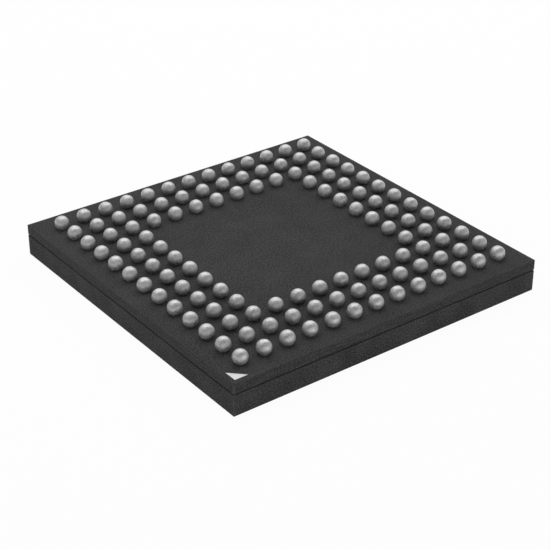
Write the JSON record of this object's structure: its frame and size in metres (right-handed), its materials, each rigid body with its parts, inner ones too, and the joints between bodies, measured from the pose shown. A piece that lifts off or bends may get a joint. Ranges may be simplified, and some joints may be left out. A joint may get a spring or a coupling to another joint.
{
  "type": "microcontroller",
  "caption": "Thin square microcontroller package, black moulded body on a laminate, with solder balls on the outer rings of its underside, lying balls up.",
  "frame": {"origin": "centre of the mould face, on the surface that the package lies on", "axes": "+Z out of the ball side, +X along the ball columns from column 1, +Y along the ball rows from row a, with the pin-one corner at -X, -Y"},
  "size_m": [0.007, 0.007, 0.0009],
  "materials": {
    "moulding_compound": "silica-filled epoxy, fine satin grain, sawn sides",
    "solder_mask": "matt black photo-imaged mask",
    "laminate": "black glass-filled laminate, sawn edge",
    "attach_film": "cured adhesive film",
    "silicon": "polished silicon",
    "copper": "plated copper",
    "gold_wire": "drawn gold wire",
    "plated_mark": "pale matt plating",
    "solder": "reflowed tin alloy, satin with a fine grain"
  },
  "bodies": {
    "root": {"mould_cap": "moulding_compound", "silicon_die": "silicon", "die_attach_film": "attach_film", "die_side_mask": "solder_mask", "die_side_copper": "copper", "laminate_core": "laminate", "filled_vias": "copper", "ball_side_copper": "copper", "ball_side_mask": "solder_mask", "pin_one_mark": "plated_mark", "bond_wires_south": "gold_wire", "bond_wires_east": "gold_wire", "bond_wires_north": "gold_wire", "bond_wires_west": "gold_wire", "ball_row_a": "solder", "ball_row_b": "solder", "ball_row_c": "solder", "ball_row_d": "solder", "ball_row_e": "solder", "ball_row_f": "solder", "ball_row_g": "solder", "ball_row_h": "solder", "ball_row_j": "solder", "ball_row_k": "solder", "ball_row_l": "solder", "ball_row_m": "solder", "ball_row_n": "solder"}
  },
  "joints": []
}
